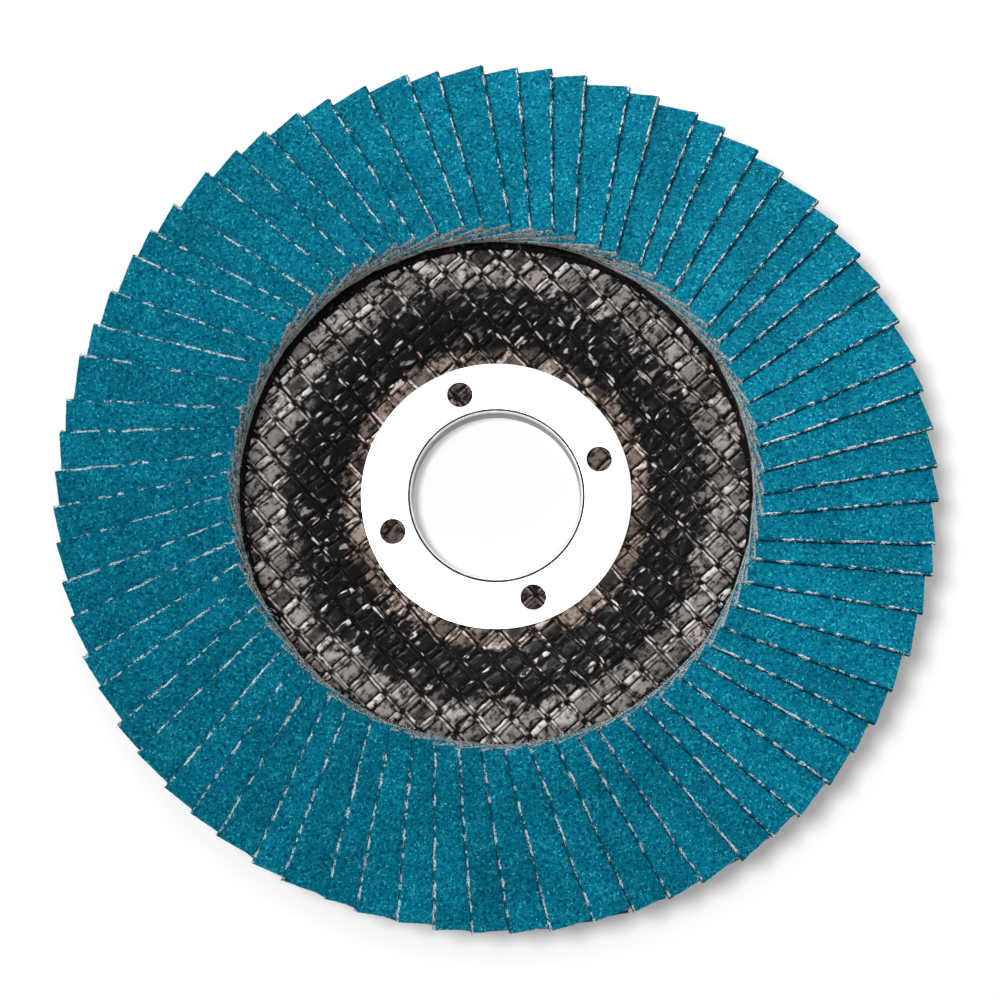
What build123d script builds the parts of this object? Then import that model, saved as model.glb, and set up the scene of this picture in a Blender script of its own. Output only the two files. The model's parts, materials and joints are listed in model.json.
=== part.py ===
from build123d import *
import math
import os
import random

# Flap disc for an angle grinder, in millimetres.
# Origin: on the bore axis, in the back face of the hub, which is the face the disc lies on.
# +Z runs along the bore axis towards the abrasive side. Angles run anticlockwise from +X as seen
# from the abrasive side.

# Overall
DISC_DIAMETER = 115.0  # over the outer corners of the flaps

# Centre ring
BORE_DIAMETER = 22.23
RING_DIAMETER = 35.8
RING_METAL = 0.5  # sheet thickness of flange and collar
RING_LIP_CHAMFER = 0.35  # lead-in where the flange turns down into the bore
COLLAR_SETBACK = 0.1  # the collar stops this far short of the hub's back face
KEY_HOLE_COUNT = 4
KEY_HOLE_DIAMETER = 3.4
KEY_HOLE_CIRCLE = (BORE_DIAMETER + RING_DIAMETER) / 2  # midway across the flange
KEY_HOLE_ANGLE = 19.6  # first hole, from +X
RING_FIT = 0.05  # clearance between the collar and the plate

# Backing plate
PLATE_THICKNESS = 2.4
PLATE_OVERHANG = 2.4  # the flaps stand this far past the plate's edge
HUB_MARGIN = 2.1  # flat hub outside the ring's flange
HUB_DEPTH = 2.6  # how far the hub is set back from the rim
CONE_RUN = 5.4  # radial length of the cone between hub and rim, on the front
CONE_EASING = 1.6  # the cone on the back starts and ends this much further out each way
RIM_ANGLE = 5.0  # fall of the rim towards its edge, starting under the adhesive

# Glass weave in the plate's front: a square grid of strands with a pit in each mesh
STRAND_PITCH = 3.35
STRAND_HEIGHT = 0.3
WARP_WIDTH = 1.4
WEFT_WIDTH = 1.2
WARP_ANGLE = 42.0
WEAVE_START = 1.9  # the weave is open from this far outside the hub
WEAVE_MARGIN = 0.35  # band without pits beside the adhesive

# Adhesive
BED_THICKNESS = 0.5
BED_SETBACK = 0.5  # the bed stops this far inside the plate's edge
BED_LEDGE = 0.8  # resin squeezed out in front of the flaps' inner ends

# Flaps
FLAP_COUNT = 72
FLAP_LENGTH = 23.2
FLAP_WIDTH = 16.0
FLAP_THICKNESS = 0.8
FLAP_CLEARANCE = 0.02  # between neighbours at their inner ends
SEAT_CLEARANCE = 0.03  # between the lowest flaps and the adhesive
FLAPS_PER_NODE = 2
SPACING_SCATTER = 0.7  # degrees each way
RADIAL_SCATTER = 0.15
YAW_SCATTER = 0.5  # degrees each way
SCATTER_SEED = 41

# Derived sizes
bore_radius = BORE_DIAMETER / 2
ring_radius = RING_DIAMETER / 2
plate_bore_radius = bore_radius + RING_METAL + RING_FIT
hub_radius = ring_radius + HUB_MARGIN
rim_start = hub_radius + CONE_RUN
rim_fall = math.tan(math.radians(RIM_ANGLE))
flap_pitch = math.radians(360 / FLAP_COUNT)
flap_outer_x = math.sqrt((DISC_DIAMETER / 2) ** 2 - (FLAP_WIDTH / 2) ** 2) - RADIAL_SCATTER
flap_inner_x = flap_outer_x - FLAP_LENGTH
plate_radius = flap_outer_x - PLATE_OVERHANG
bed_inner_radius = flap_inner_x - RADIAL_SCATTER - BED_LEDGE

# Lean of the flaps: at their inner ends, neighbours one pitch apart clear each other by a ply
widest_pitch = flap_pitch + math.radians(2 * SPACING_SCATTER)
ply_pitch = FLAP_THICKNESS + FLAP_CLEARANCE + widest_pitch * rim_fall * FLAP_WIDTH / 2
flap_lean = math.degrees(math.asin(ply_pitch / (flap_pitch * flap_inner_x)))
flap_rise = FLAP_WIDTH / 2 * math.sin(math.radians(flap_lean))
screw_lead = flap_inner_x * math.tan(math.radians(flap_lean))  # fall of the helicoid per radian
seat_height = BED_THICKNESS + SEAT_CLEARANCE + screw_lead * math.radians(SPACING_SCATTER)


def rim_front(radius):
    """Height of the plate's front face on the falling rim."""
    return PLATE_THICKNESS + HUB_DEPTH - (radius - bed_inner_radius) * rim_fall


def weave_pit(row, column):
    """One pit of the weave's grid, set square to the cone or to the level ring around it."""
    radius = math.hypot(row, column) * STRAND_PITCH
    bearing = math.degrees(math.atan2(row, column))
    height = PLATE_THICKNESS + HUB_DEPTH
    slope = 0
    if radius < rim_start:
        slope = HUB_DEPTH / CONE_RUN
        height -= (rim_start - radius) * slope
    seat = Pos(radius, 0, height) * Rot(0, -math.degrees(math.atan(slope)), 0)
    pit = Box(STRAND_PITCH - WARP_WIDTH, STRAND_PITCH - WEFT_WIDTH, 2 * STRAND_HEIGHT)
    return Rot(0, 0, WARP_ANGLE + bearing) * seat * Rot(0, 0, -bearing) * pit


def weave_pits():
    """The pits of every mesh that lies whole between the resin-filled hub and the adhesive."""
    reach = math.hypot(STRAND_PITCH - WARP_WIDTH, STRAND_PITCH - WEFT_WIDTH) / 2
    nearest = (hub_radius + WEAVE_START + reach) / STRAND_PITCH
    farthest = (bed_inner_radius - WEAVE_MARGIN - reach) / STRAND_PITCH
    steps = range(-math.ceil(farthest), math.ceil(farthest) + 1)
    return [
        weave_pit(row, column)
        for row in steps
        for column in steps
        if nearest < math.hypot(row, column) < farthest
    ]


def backing_plate():
    """Moulded plate of resin and glass cloth: hub, cone, level ring and falling rim."""
    outline = [
        (plate_bore_radius, 0, PLATE_THICKNESS),
        (hub_radius, 0, PLATE_THICKNESS),
        (rim_start, 0, PLATE_THICKNESS + HUB_DEPTH),
        (bed_inner_radius, 0, rim_front(bed_inner_radius)),
        (plate_radius, 0, rim_front(plate_radius)),
        (plate_radius, 0, rim_front(plate_radius) - PLATE_THICKNESS),
        (bed_inner_radius, 0, HUB_DEPTH),
        (rim_start + CONE_EASING, 0, HUB_DEPTH),
        (hub_radius - CONE_EASING, 0, 0),
        (plate_bore_radius, 0, 0),
    ]
    return revolve(make_face(Polyline(*outline, close=True)), Axis.Z) - weave_pits()


def centre_ring():
    """Pressed steel ring: flat flange on the hub's front, collar down through the plate."""
    top = PLATE_THICKNESS + RING_METAL
    outline = [
        (bore_radius, 0, COLLAR_SETBACK),
        (bore_radius + RING_METAL, 0, COLLAR_SETBACK),
        (bore_radius + RING_METAL, 0, PLATE_THICKNESS),
        (ring_radius, 0, PLATE_THICKNESS),
        (ring_radius, 0, top),
        (bore_radius, 0, top),
    ]
    ring = revolve(make_face(Polyline(*outline, close=True)), Axis.Z)
    top_edges = ring.edges().filter_by(GeomType.CIRCLE).group_by(Axis.Z)[-1].sort_by(SortBy.RADIUS)
    ring = chamfer(top_edges[0], RING_LIP_CHAMFER)
    spots = PolarLocations(KEY_HOLE_CIRCLE / 2, KEY_HOLE_COUNT, KEY_HOLE_ANGLE)
    return ring - Pos(0, 0, top) * spots * Cylinder(KEY_HOLE_DIAMETER / 2, 3 * RING_METAL)


def adhesive_bed():
    """Ring of resin on the rim, which the flaps stand in."""
    outer_radius = plate_radius - BED_SETBACK
    outline = [
        (bed_inner_radius, 0, rim_front(bed_inner_radius)),
        (outer_radius, 0, rim_front(outer_radius)),
        (outer_radius, 0, rim_front(outer_radius) + BED_THICKNESS),
        (bed_inner_radius, 0, rim_front(bed_inner_radius) + BED_THICKNESS),
    ]
    return revolve(make_face(Polyline(*outline, close=True)), Axis.Z)


def flap(place, scatter):
    """One flap at its place in the pack, slid a little along the pack's own helicoid."""
    slide = math.radians(scatter.uniform(-SPACING_SCATTER, SPACING_SCATTER))
    middle = (flap_inner_x + flap_outer_x) / 2
    height = rim_front(middle) + seat_height + flap_rise - screw_lead * slide
    turn = Rot(0, 0, math.degrees(place * flap_pitch + slide))
    lean = Rot(0, RIM_ANGLE, 0) * Rot(-flap_lean, 0, 0)
    shift = Pos(scatter.uniform(-RADIAL_SCATTER, RADIAL_SCATTER), 0, 0)
    yaw = Rot(0, 0, scatter.uniform(-YAW_SCATTER, YAW_SCATTER))
    alignment = (Align.CENTER, Align.CENTER, Align.MIN)
    cloth = Box(FLAP_LENGTH, FLAP_WIDTH, FLAP_THICKNESS, align=alignment)
    return turn * Pos(middle, 0, height) * lean * shift * yaw * cloth


def flap_pairs():
    """The whole pack, neighbouring flaps sharing a node as separate solids."""
    scatter = random.Random(SCATTER_SEED)
    flaps = [flap(place, scatter) for place in range(FLAP_COUNT)]
    groups = [flaps[start : start + FLAPS_PER_NODE] for start in range(0, FLAP_COUNT, FLAPS_PER_NODE)]
    return {
        f"flap_pair_{number:02d}": Compound(children=group)
        for number, group in enumerate(groups, start=1)
    }


def main():
    os.makedirs("parts", exist_ok=True)
    nodes = {
        "backing_plate": backing_plate(),
        "centre_ring": centre_ring(),
        "adhesive_bed": adhesive_bed(),
        **flap_pairs(),
    }
    for name, shape in nodes.items():
        export_step(shape, f"parts/{name}.step")


main()
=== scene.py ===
"""Dresses the flap disc: abrasive flaps, woven backing plate, adhesive, steel ring and studio."""

import json
import logging
import math
import random
from collections.abc import Callable, Iterator
from contextlib import contextmanager
from dataclasses import dataclass
from enum import Enum, IntEnum

import bmesh
import bpy
import numpy as np
from mathutils import Matrix, Vector

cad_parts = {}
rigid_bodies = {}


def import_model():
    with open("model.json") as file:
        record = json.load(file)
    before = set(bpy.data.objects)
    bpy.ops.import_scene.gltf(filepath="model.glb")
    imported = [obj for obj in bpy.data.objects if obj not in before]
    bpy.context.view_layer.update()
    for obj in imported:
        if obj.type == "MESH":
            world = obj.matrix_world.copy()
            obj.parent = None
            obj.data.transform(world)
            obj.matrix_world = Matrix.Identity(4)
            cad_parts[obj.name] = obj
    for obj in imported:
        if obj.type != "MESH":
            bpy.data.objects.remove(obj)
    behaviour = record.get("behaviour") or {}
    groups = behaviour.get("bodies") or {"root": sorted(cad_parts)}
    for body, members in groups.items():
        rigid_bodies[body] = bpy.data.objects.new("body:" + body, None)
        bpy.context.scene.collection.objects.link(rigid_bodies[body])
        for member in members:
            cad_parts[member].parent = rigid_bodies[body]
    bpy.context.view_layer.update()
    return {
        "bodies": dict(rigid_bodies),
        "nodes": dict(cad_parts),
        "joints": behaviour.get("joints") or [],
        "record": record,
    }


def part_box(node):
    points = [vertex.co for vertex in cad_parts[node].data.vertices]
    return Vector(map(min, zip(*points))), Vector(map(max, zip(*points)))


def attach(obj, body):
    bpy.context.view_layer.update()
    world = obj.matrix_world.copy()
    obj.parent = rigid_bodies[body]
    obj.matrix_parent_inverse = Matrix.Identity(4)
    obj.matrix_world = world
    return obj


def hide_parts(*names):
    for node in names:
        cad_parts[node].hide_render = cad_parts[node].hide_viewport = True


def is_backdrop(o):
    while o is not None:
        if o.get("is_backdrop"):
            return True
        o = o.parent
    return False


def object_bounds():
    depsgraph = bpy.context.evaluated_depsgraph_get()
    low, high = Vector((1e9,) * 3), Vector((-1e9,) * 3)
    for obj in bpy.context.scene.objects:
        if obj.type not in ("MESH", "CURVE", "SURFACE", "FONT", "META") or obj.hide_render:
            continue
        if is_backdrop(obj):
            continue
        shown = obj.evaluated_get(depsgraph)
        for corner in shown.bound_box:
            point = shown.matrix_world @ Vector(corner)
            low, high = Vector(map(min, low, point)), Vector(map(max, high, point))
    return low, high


log = logging.getLogger("flap_disc")

Piece = bpy.types.Object
Material = bpy.types.Material
Socket = bpy.types.NodeSocket
Triple = tuple[float, float, float]
Span = tuple[float, float]
Value = Socket | float  # a number, made by a node or plain
Paint = Socket | Triple  # a colour, made by a node or plain

MM = 0.001
BODY = "root"
WELD = MM / 1000  # corners closer than this are one
SLAB_VERTICES = 24  # of one flap in a CAD node: three to each corner
CLOTH_BANDS = 2  # rows of faces down the cut side below the coat
WEAVE_PITCH = 3.35 * MM
WEAVE_TURN = math.radians(42)
WEAVE_DEPTH = 0.27 * MM  # the resin lies this far below the plate's front, for the strands
MIX_FIRST, MIX_SECOND, MIX_RESULT = 6, 7, 2  # the colour sockets of a Mix node


class Slot(Enum):
    """The record's material slots."""

    CLOTH = "flap_cloth"
    LAMINATE = "plate_laminate"
    RESIN = "adhesive_resin"
    STEEL = "ring_steel"


class Element(Enum):
    """What is picked in edit mode: its select mode, and its name in an edit mesh."""

    CORNER = ("VERT", "verts")
    EDGE = ("EDGE", "edges")


class FlapFace(IntEnum):
    """The faces of a flap, in the order of its finishes."""

    COAT = 0
    CUT = 1
    BACK = 2
    WORN = 3
    CORE = 4


class RingFace(IntEnum):
    """The faces of the steel ring, in the order of its finishes."""

    TIN = 0
    GROOVE = 1
    WALL = 2
    LIP = 3


# ------------------------------------------------------------------ modelling bench


class Bench:
    """Modelling operators, used as by hand: add, edit, finish, place."""

    @staticmethod
    def clear() -> None:
        """Deselects everything."""
        bpy.ops.object.select_all(action="DESELECT")

    @staticmethod
    def pick(*pieces: Piece) -> Piece:
        """Selects only these pieces.

        Args:
            *pieces: The pieces to select; the first becomes the active one.

        Returns:
            The active piece.
        """
        Bench.clear()
        for piece in pieces:
            piece.select_set(True)
        bpy.context.view_layer.objects.active = pieces[0]
        return pieces[0]

    @staticmethod
    def copy(piece: Piece) -> Piece:
        """Copies a piece.

        Args:
            piece: The piece to copy.

        Returns:
            The copy, with a mesh of its own.
        """
        copy = piece.copy()
        copy.data = piece.data.copy()
        bpy.context.scene.collection.objects.link(copy)
        return copy

    @staticmethod
    @contextmanager
    def editing(piece: Piece, kind: Element = Element.CORNER) -> Iterator[None]:
        """Opens a piece in edit mode with nothing selected, and closes it again.

        Args:
            piece: The mesh object to edit.
            kind: What will be selected.

        Yields:
            Nothing, while the piece is open.
        """
        Bench.pick(piece)
        bpy.ops.object.mode_set(mode="EDIT")
        bpy.ops.mesh.select_mode(type=kind.value[0])
        bpy.ops.mesh.select_all(action="DESELECT")
        yield
        bpy.ops.object.mode_set(mode="OBJECT")

    @staticmethod
    def select_where(piece: Piece, kind: Element, test: Callable[..., bool]) -> None:
        """Selects corners or edges of the mesh that is open in edit mode.

        Args:
            piece: The mesh object in edit mode.
            kind: What is selected.
            test: Says whether an element is selected.
        """
        opened = bmesh.from_edit_mesh(piece.data)
        for element in getattr(opened, kind.value[1]):
            element.select_set(test(element))
        opened.select_flush_mode()
        bmesh.update_edit_mesh(piece.data)

    @staticmethod
    def grid(name: str, size: Span, cells: tuple[int, int], centre: Vector) -> Piece:
        """Adds a flat grid with its place in its mesh.

        Args:
            name: The piece's name.
            size: Length along X and Y, in metres.
            cells: Number of cells along X and Y.
            centre: Where its middle lies.

        Returns:
            The new piece.
        """
        Bench.clear()
        bpy.ops.mesh.primitive_grid_add(
            x_subdivisions=cells[0], y_subdivisions=cells[1], size=1, location=centre
        )
        piece = bpy.context.active_object
        piece.name = name
        piece.scale = (size[0], size[1], 1)
        bpy.ops.object.transform_apply(location=True, rotation=True, scale=True)
        return piece

    @staticmethod
    def lathe(name: str, outline: list[Span], steps: int) -> Piece:
        """Turns a closed outline round the Z axis.

        Args:
            name: The piece's name.
            outline: Radius and height of each corner, in metres.
            steps: Number of facets round the axis.

        Returns:
            The new piece, closed and with its faces outwards.
        """
        Bench.clear()
        bpy.ops.mesh.primitive_circle_add(vertices=len(outline), radius=MM)
        piece = bpy.context.active_object
        piece.name = name
        for corner, (radius, height) in zip(piece.data.vertices, outline):
            corner.co = (radius, 0, height)
        with Bench.editing(piece):
            bpy.ops.mesh.select_all(action="SELECT")
            bpy.ops.mesh.spin(steps=steps, angle=math.tau, center=(0, 0, 0), axis=(0, 0, 1))
            bpy.ops.mesh.select_all(action="SELECT")
            bpy.ops.mesh.remove_doubles(threshold=WELD)
            bpy.ops.mesh.normals_make_consistent(inside=False)
        return piece

    @staticmethod
    def divided(corners: list[Span], step_length: float) -> list[Span]:
        """Adds stations along the long sides of a section.

        Args:
            corners: Radius and height of each corner, in order round the section.
            step_length: About how long a step is, in metres.

        Returns:
            The same section with its long sides divided into short steps.
        """
        points: list[Span] = []
        for start, end in zip(corners, corners[1:] + corners[:1]):
            count = max(1, round(math.dist(start, end) / step_length))
            for step in range(count):
                share = step / count
                points.append(tuple(a + (b - a) * share for a, b in zip(start, end)))
        return points

    @staticmethod
    def modifier(piece: Piece, kind: str, **settings: object) -> None:
        """Adds a modifier with its settings and applies it.

        Args:
            piece: The mesh object.
            kind: The modifier's type.
            **settings: Its properties.
        """
        Bench.pick(piece)
        modifier = piece.modifiers.new(kind.title(), kind)
        for key, value in settings.items():
            setattr(modifier, key, value)
        bpy.ops.object.modifier_apply(modifier=modifier.name)

    @staticmethod
    def clouds(name: str, size: float, depth: int = 2, basis: str = "BLENDER_ORIGINAL") -> bpy.types.Texture:
        """Makes a lumpy height field.

        Args:
            name: The field's name.
            size: Size of a lump, in metres.
            depth: How many times finer lumps are added.
            basis: The noise that it is made of.

        Returns:
            The field, as a texture.
        """
        field = bpy.data.textures.new(name, "CLOUDS")
        field.noise_scale = size
        field.noise_depth = depth
        field.noise_basis = basis
        return field

    @staticmethod
    def roughen(
        piece: Piece, field: bpy.types.Texture, depth: float, level: float, **settings: str
    ) -> None:
        """Moves a piece's skin by a height field that lies in the piece's own coordinates.

        Args:
            piece: The mesh object.
            field: The height field.
            depth: How far its whole range moves the skin, in metres.
            level: The height at which the skin stays where it is, 0 to 1.
            **settings: The direction and the vertex group, where there are any.
        """
        place = {"texture": field, "texture_coords": "LOCAL", **settings}
        Bench.modifier(piece, "DISPLACE", strength=depth, mid_level=level, **place)

    @staticmethod
    def smooth(piece: Piece, degrees: float) -> None:
        """Shades a piece smooth, with edges sharper than an angle left crisp."""
        Bench.pick(piece)
        bpy.ops.object.shade_smooth_by_angle(angle=math.radians(degrees))

    @staticmethod
    def dress(piece: Piece, *finishes: Material) -> None:
        """Gives a piece its finishes, in the order of its faces' numbers."""
        for finish in finishes:
            piece.data.materials.append(finish)

    @staticmethod
    def join(name: str, pieces: list[Piece]) -> Piece:
        """Joins pieces into one.

        Args:
            name: The new piece's name.
            pieces: The pieces to join.

        Returns:
            The new piece.
        """
        joined = Bench.pick(*pieces)
        bpy.ops.object.join()
        joined.name = name
        joined.data.name = name
        return joined

    @staticmethod
    def seat(piece: Piece, slot: Slot, *nodes: str) -> None:
        """Lets a finished piece ride on the disc and stand for the CAD nodes it replaces.

        Args:
            piece: The finished piece.
            slot: The record's material slot; not used.
            *nodes: The CAD nodes that it stands for.
        """
        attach(piece, BODY)
        if nodes:
            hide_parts(*nodes)
        faces = len(piece.data.polygons)
        log.info("%s: %d faces, stands for %s", piece.name, faces, ", ".join(nodes) or "nothing")


# ------------------------------------------------------------------ finishes


class Shade:
    """One material's node tree, with short calls for the nodes that the finishes use."""

    def __init__(self, name: str) -> None:
        """Starts a material with one principled shader on its output.

        Args:
            name: The material's name.
        """
        self.material = bpy.data.materials.new(name)
        self.material.use_nodes = True
        self.tree = self.material.node_tree
        self.tree.nodes.clear()
        self.surface = self.add("ShaderNodeBsdfPrincipled")
        output = self.add("ShaderNodeOutputMaterial")
        self.wire(self.surface.outputs["BSDF"], output.inputs["Surface"])
        self.place = self.add("ShaderNodeTexCoord").outputs["Object"]

    def add(self, kind: str, **settings: object) -> bpy.types.Node:
        """Adds a node and sets its properties.

        Args:
            kind: The node's class.
            **settings: Its properties.

        Returns:
            The new node.
        """
        node = self.tree.nodes.new(kind)
        for key, value in settings.items():
            setattr(node, key, value)
        return node

    def wire(self, source: Value | tuple[float, ...], target: Socket) -> None:
        """Links an output to an input, or sets the input.

        Args:
            source: An output, or a plain value.
            target: The input.
        """
        if isinstance(source, Socket):
            self.tree.links.new(source, target)
        else:
            target.default_value = source

    def set(self, **values: Value | tuple[float, ...]) -> None:
        """Sets or links the shader's sockets, named with underscores for spaces."""
        for key, value in values.items():
            self.wire(value, self.surface.inputs[key.replace("_", " ")])

    def scaled(self, factors: Triple, turn: float = 0.0) -> Socket:
        """Turns the object's coordinates about Z and then stretches them.

        Args:
            factors: The stretch along each axis.
            turn: The turn, in radians.

        Returns:
            The new coordinates.
        """
        vector = self.place
        for key, value in (("Rotation", (0, 0, turn)), ("Scale", factors)):
            step = self.add("ShaderNodeMapping", vector_type="POINT")
            step.inputs[key].default_value = value
            self.wire(vector, step.inputs["Vector"])
            vector = step.outputs["Vector"]
        return vector

    def noise(
        self, grain: float, detail: float = 2.0, roughness: float = 0.5, vector: Socket | None = None
    ) -> Socket:
        """Noise whose features are about one grain across.

        Args:
            grain: Size of a feature, in metres.
            detail: Octaves of finer noise.
            roughness: How strong the finer octaves are.
            vector: Coordinates, or None for the object's own.

        Returns:
            The noise value, about 0.5 on average.
        """
        node = self.add("ShaderNodeTexNoise")
        self.wire(vector or self.place, node.inputs["Vector"])
        for key, value in (("Scale", 1 / grain), ("Detail", detail), ("Roughness", roughness)):
            node.inputs[key].default_value = value
        return node.outputs["Fac"]

    def cells(self, grain: float) -> Socket:
        """Cells about one grain across.

        Args:
            grain: Size of a cell, in metres.

        Returns:
            The distance from the middle of the nearest cell.
        """
        node = self.add("ShaderNodeTexVoronoi")
        self.wire(self.place, node.inputs["Vector"])
        node.inputs["Scale"].default_value = 1 / grain
        return node.outputs["Distance"]

    def attribute(self, name: str) -> Socket:
        """A number stored on the mesh."""
        return self.add("ShaderNodeAttribute", attribute_name=name).outputs["Fac"]

    def math(self, operation: str, first: Value, second: Value = 0.0) -> Socket:
        """A sum on one or two values.

        Args:
            operation: What is done with them.
            first: The first value.
            second: The second value.

        Returns:
            The result.
        """
        node = self.add("ShaderNodeMath", operation=operation)
        self.wire(first, node.inputs[0])
        self.wire(second, node.inputs[1])
        return node.outputs["Value"]

    def times(self, first: Value, second: Value) -> Socket:
        """One value times another."""
        return self.math("MULTIPLY", first, second)

    def span(
        self, value: Value, low: float, high: float, to_low: float = 0.0, to_high: float = 1.0
    ) -> Socket:
        """Moves a value smoothly from one span to another, held at both ends.

        Args:
            value: The value.
            low: Where the span starts.
            high: Where it ends, which may be below its start.
            to_low: The result at the start.
            to_high: The result at the end.

        Returns:
            The moved value.
        """
        node = self.add("ShaderNodeMapRange", interpolation_type="SMOOTHSTEP")
        self.wire(value, node.inputs["Value"])
        for key, number in (("From Min", low), ("From Max", high), ("To Min", to_low), ("To Max", to_high)):
            node.inputs[key].default_value = number
        return node.outputs["Result"]

    def spread(self, noise: Socket, low: float, high: float) -> Socket:
        """Spreads a noise, nearly all of which lies between 0.3 and 0.7, over a span."""
        return self.span(noise, 0.3, 0.7, low, high)

    def mix(self, share: Value, first: Paint, second: Paint) -> Socket:
        """Mixes two colours.

        Args:
            share: Share of the second colour.
            first: The first colour.
            second: The second colour.

        Returns:
            The mixed colour.
        """
        node = self.add("ShaderNodeMix", data_type="RGBA")
        self.wire(share, node.inputs["Factor"])
        self.wire(opaque(first), node.inputs[MIX_FIRST])
        self.wire(opaque(second), node.inputs[MIX_SECOND])
        return node.outputs[MIX_RESULT]

    def tint(self, base: Paint, value: Value) -> Socket:
        """Brightens or darkens a colour.

        Args:
            base: The colour.
            value: The factor.

        Returns:
            The new colour.
        """
        node = self.add("ShaderNodeHueSaturation")
        self.wire(opaque(base), node.inputs["Color"])
        self.wire(value, node.inputs["Value"])
        return node.outputs["Color"]

    def bump(self, height: Socket, depth: float, under: Socket | None = None) -> Socket:
        """Bumps the surface by a height.

        Args:
            height: The height field, 0 to 1.
            depth: What a height of 1 measures, in metres.
            under: Another bump's normal to add to.

        Returns:
            The bumped normal.
        """
        node = self.add("ShaderNodeBump")
        node.inputs["Strength"].default_value = 1.0
        node.inputs["Distance"].default_value = depth
        self.wire(height, node.inputs["Height"])
        if under is not None:
            self.wire(under, node.inputs["Normal"])
        return node.outputs["Normal"]

    def radius(self) -> Socket:
        """Measures the distance from the bore's axis.

        Returns:
            The distance, in millimetres.
        """
        length = self.add("ShaderNodeVectorMath", operation="LENGTH")
        self.wire(self.scaled((1 / MM, 1 / MM, 0)), length.inputs[0])
        return length.outputs["Value"]


def opaque(value: Paint) -> Socket | tuple[float, ...]:
    """A colour given as red, green and blue gets an alpha of 1; a socket stays as it is."""
    return (*value, 1.0) if isinstance(value, tuple) else value


@dataclass(frozen=True)
class Finish:
    """A finish of one of the disc's surfaces; each kind paints its own shader."""

    name: str

    def material(self) -> Material:
        """Makes the finish.

        Returns:
            The painted material.
        """
        shade = Shade(self.name)
        self.paint(shade)
        return shade.material

    def paint(self, shade: Shade) -> None:
        """Sets and links the shader's sockets."""
        raise NotImplementedError


@dataclass(frozen=True)
class GritCoat(Finish):
    """Ceramic grain held in blue-green resin, on the face of each flap."""

    name: str = "grit_coat"
    base: Triple = (0.0008, 0.166, 0.264)
    # painted light: the ridge, grain and facet colours are highlights of the glossy coat, the pit colour is
    # shade
    ridge_highlight: Triple = (0.01, 0.3, 0.41)
    pit_shade: Triple = (0.0004, 0.08, 0.148)
    grain: Triple = (0.03, 0.46, 0.56)
    facet_glint: Triple = (0.15, 0.7, 0.78)
    ridge_pitch: float = 0.56 * MM
    ridge_span: Span = (0.07, 0.015)  # of the noise round its middle: where a ridge starts, its crest
    ridge_height: float = 0.4
    break_pitch: float = 0.896 * MM
    break_span: Span = (0.42, 0.62)
    pit_pitch: float = 0.448 * MM
    pit_span: Span = (0.5, 0.36)
    grain_pitch: float = 0.42 * MM
    grain_span: Span = (0.57, 0.72)
    facet_pitch: float = 1.0 * MM
    facet_span: Span = (0.12, 0.07)
    facet_strength: float = 0.8
    patch_pitch: float = 6 * MM
    patch_tones: Span = (0.88, 1.12)
    relief: float = 0.18 * MM

    def paint(self, shade: Shade) -> None:
        """Lays broken ridges, grains and bright facets as painted highlights, and pits as painted shade,
        over the resin.

        Args:
            shade: The material's node tree.
        """
        lumps = shade.noise(self.ridge_pitch, detail=1.5)
        ridges = shade.span(shade.math("ABSOLUTE", shade.math("SUBTRACT", lumps, 0.5)), *self.ridge_span)
        breaks = shade.span(shade.noise(self.break_pitch, detail=1), *self.break_span)
        ridges = shade.times(ridges, breaks)
        grains = shade.noise(self.grain_pitch, roughness=0.6)
        facets = shade.span(shade.cells(self.facet_pitch), *self.facet_span, 0.0, self.facet_strength)
        # painted shade in the pits, then painted highlights on ridges, grains and facets
        body = shade.mix(shade.span(shade.noise(self.pit_pitch), *self.pit_span), self.base, self.pit_shade)
        body = shade.mix(ridges, body, self.ridge_highlight)
        body = shade.mix(shade.span(grains, *self.grain_span), body, self.grain)
        body = shade.mix(facets, body, self.facet_glint)
        patch = shade.spread(shade.noise(self.patch_pitch), *self.patch_tones)
        height = shade.math("ADD", lumps, shade.times(ridges, self.ridge_height))
        shade.set(
            Base_Color=shade.tint(body, shade.times(patch, shade.attribute("tone"))),
            Roughness=0.6,
            Specular_IOR_Level=0.02,
            Normal=shade.bump(height, self.relief),
        )


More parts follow.
